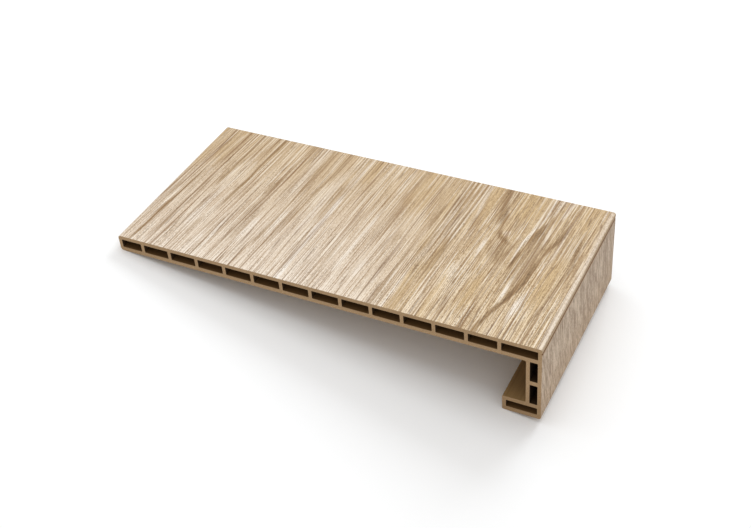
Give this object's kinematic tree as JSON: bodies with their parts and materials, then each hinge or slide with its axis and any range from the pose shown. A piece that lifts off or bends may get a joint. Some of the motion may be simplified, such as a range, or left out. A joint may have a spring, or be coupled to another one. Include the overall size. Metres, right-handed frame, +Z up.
{
  "type": "stair tread",
  "caption": "Short length of hollow extruded wood-plastic stair tread: a wood-look walking panel with a drop nose and a hooked lip under it.",
  "frame": {"origin": "on the floor, at the middle of the bounding box as the piece lies by itself", "axes": "+X from the back edge towards the nose, +Y along the extrusion, +Z up; the walking face slopes up towards the nose by about 9.5 degrees, because the piece lies on its back edge and its lip"},
  "size_m": [0.305, 0.14, 0.061],
  "materials": {
    "wood_plastic": "wood-plastic with a pale oak film on the walking face and a greyer one on the nose face, raw at the cut ends"
  },
  "bodies": {
    "root": {"stair_tread": "wood_plastic"}
  },
  "joints": []
}
